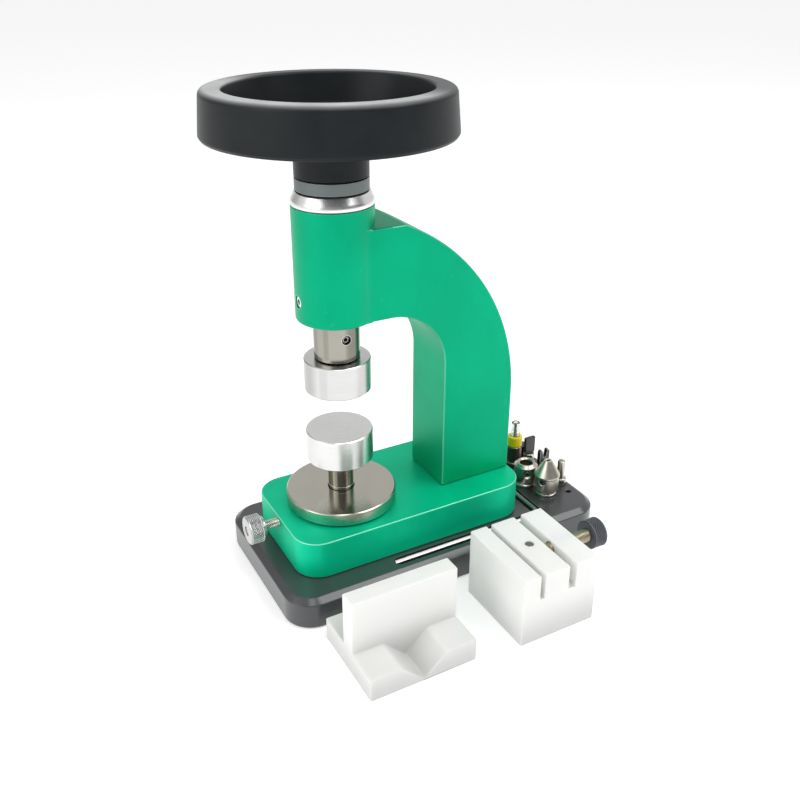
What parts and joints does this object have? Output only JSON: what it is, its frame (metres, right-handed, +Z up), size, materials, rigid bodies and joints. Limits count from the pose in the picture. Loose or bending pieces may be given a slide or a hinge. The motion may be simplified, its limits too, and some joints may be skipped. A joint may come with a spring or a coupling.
{
  "type": "watch case press",
  "caption": "Bench screw press with a handwheel, C-shaped arm and round dies on a black base, with pin tools standing at its back and two nylon case-holding blocks.",
  "frame": {"origin": "centre of the base plate's underside", "axes": "+Z up along the ram; +Y from the ram's front towards the column and the tool holes at the back; +X towards the two loose blocks"},
  "size_m": [0.1422, 0.1707, 0.2154],
  "materials": {
    "green_anodised": "satin green anodised",
    "black_anodised": "satin black anodised",
    "bright_aluminium": "bright turned",
    "stainless": "fine turned stainless steel",
    "grey_steel": "matte grey steel",
    "screw_steel": "dark steel screws",
    "white_nylon": "milled white nylon",
    "brass": "turned brass",
    "black_rubber": "matte rubber",
    "yellow_plastic": "moulded yellow plastic",
    "clear_plastic": "clear moulded plastic"
  },
  "bodies": {
    "frame": {"base_plate": "black_anodised", "foot_pad_1": "black_rubber", "foot_pad_2": "black_rubber", "foot_pad_3": "black_rubber", "foot_pad_4": "black_rubber", "column_bolt_1": "screw_steel", "column_bolt_2": "screw_steel", "bed_bolt_1": "screw_steel", "bed_bolt_2": "screw_steel", "bed_bolt_3": "screw_steel", "bed_bolt_4": "screw_steel", "bed": "green_anodised", "c_arm": "green_anodised", "head_cap": "bright_aluminium", "thrust_race_upper": "stainless", "thrust_race_lower": "stainless", "ball_cage": "brass", "ram_key_screw": "screw_steel", "anvil_plate": "stainless", "die_post": "stainless"},
    "spindle": {"spindle": "stainless", "handwheel": "black_anodised", "wheel_key": "screw_steel", "wheel_washer": "bright_aluminium", "wheel_nut": "bright_aluminium", "shaft_collar": "grey_steel", "collar_screw": "screw_steel"},
    "ram": {"ram": "stainless", "ram_screw": "screw_steel", "upper_die": "bright_aluminium", "upper_die_stub": "stainless"},
    "lower_die": {"lower_die": "bright_aluminium"},
    "bed_clamp": {"bed_clamp_knob": "bright_aluminium", "bed_clamp_stud": "stainless"},
    "hex_key": {"hex_key": "stainless"},
    "socket_holder": {"socket_holder": "stainless", "socket_holder_screw": "screw_steel"},
    "cone_holder": {"cone_holder": "stainless", "cone_holder_screw": "screw_steel"},
    "sleeve_tool": {"sleeve_body": "grey_steel", "sleeve_ring": "yellow_plastic", "sleeve_tip": "clear_plastic"},
    "pin_tool": {"pin_tool": "stainless"},
    "fork_tool": {"fork_tool": "screw_steel"},
    "blade_tool": {"blade": "black_anodised", "blade_shank": "stainless"},
    "stub_tool": {"stub_tool": "screw_steel"},
    "slotted_block": {"slotted_block": "white_nylon", "dowel_pin": "stainless"},
    "block_clamp": {"clamp_screw": "brass", "clamp_knob": "black_anodised"},
    "vee_block": {"vee_block": "white_nylon"}
  },
  "joints": [
    {"name": "spindle_turn", "type": "hinge", "parent": "frame", "child": "spindle", "pos_m": [0, -0.0394, 0.1917], "axis": [0, 0, 1], "range_deg": [-1755, 450]},
    {"name": "ram_slide", "type": "slide", "parent": "frame", "child": "ram", "axis": [0, 0, 1], "range_m": [-0.0196, 0.0051]},
    {"name": "lower_die_lift", "type": "slide", "parent": "frame", "child": "lower_die", "axis": [0, 0, 1], "range_m": [0, 0.012]},
    {"name": "bed_clamp_turn", "type": "hinge", "parent": "frame", "child": "bed_clamp", "pos_m": [0, -0.0711, 0.0283], "axis": [0, -1, 0], "range_deg": [-360, 720]},
    {"name": "hex_key_lift", "type": "slide", "parent": "frame", "child": "hex_key", "axis": [0, 0, 1], "range_m": [0, 0.012]},
    {"name": "socket_holder_lift", "type": "slide", "parent": "frame", "child": "socket_holder", "axis": [0, 0, 1], "range_m": [0, 0.015]},
    {"name": "cone_holder_lift", "type": "slide", "parent": "frame", "child": "cone_holder", "axis": [0, 0, 1], "range_m": [0, 0.015]},
    {"name": "sleeve_tool_lift", "type": "slide", "parent": "frame", "child": "sleeve_tool", "axis": [0, 0, 1], "range_m": [0, 0.015]},
    {"name": "pin_tool_lift", "type": "slide", "parent": "frame", "child": "pin_tool", "axis": [0, 0, 1], "range_m": [0, 0.015]},
    {"name": "fork_tool_lift", "type": "slide", "parent": "frame", "child": "fork_tool", "axis": [0, 0, 1], "range_m": [0, 0.015]},
    {"name": "blade_tool_lift", "type": "slide", "parent": "frame", "child": "blade_tool", "axis": [0, 0, 1], "range_m": [0, 0.015]},
    {"name": "stub_tool_lift", "type": "slide", "parent": "frame", "child": "stub_tool", "axis": [0, 0, 1], "range_m": [0, 0.015]},
    {"name": "slotted_block_slide", "type": "slide", "parent": "frame", "child": "slotted_block", "axis": [1, 0, 0], "range_m": [0, 0.03]},
    {"name": "block_clamp_turn", "type": "hinge", "parent": "slotted_block", "child": "block_clamp", "pos_m": [0.074, 0.0353, 0.0281], "axis": [0, 1, 0], "range_deg": [-720, 360]},
    {"name": "vee_block_slide", "type": "slide", "parent": "frame", "child": "vee_block", "axis": [1, 0, 0], "range_m": [0, 0.03]}
  ],
  "couplings": [
    {"joint": "ram_slide", "follows": "spindle_turn", "m_per_rad": 0.00063662}
  ]
}
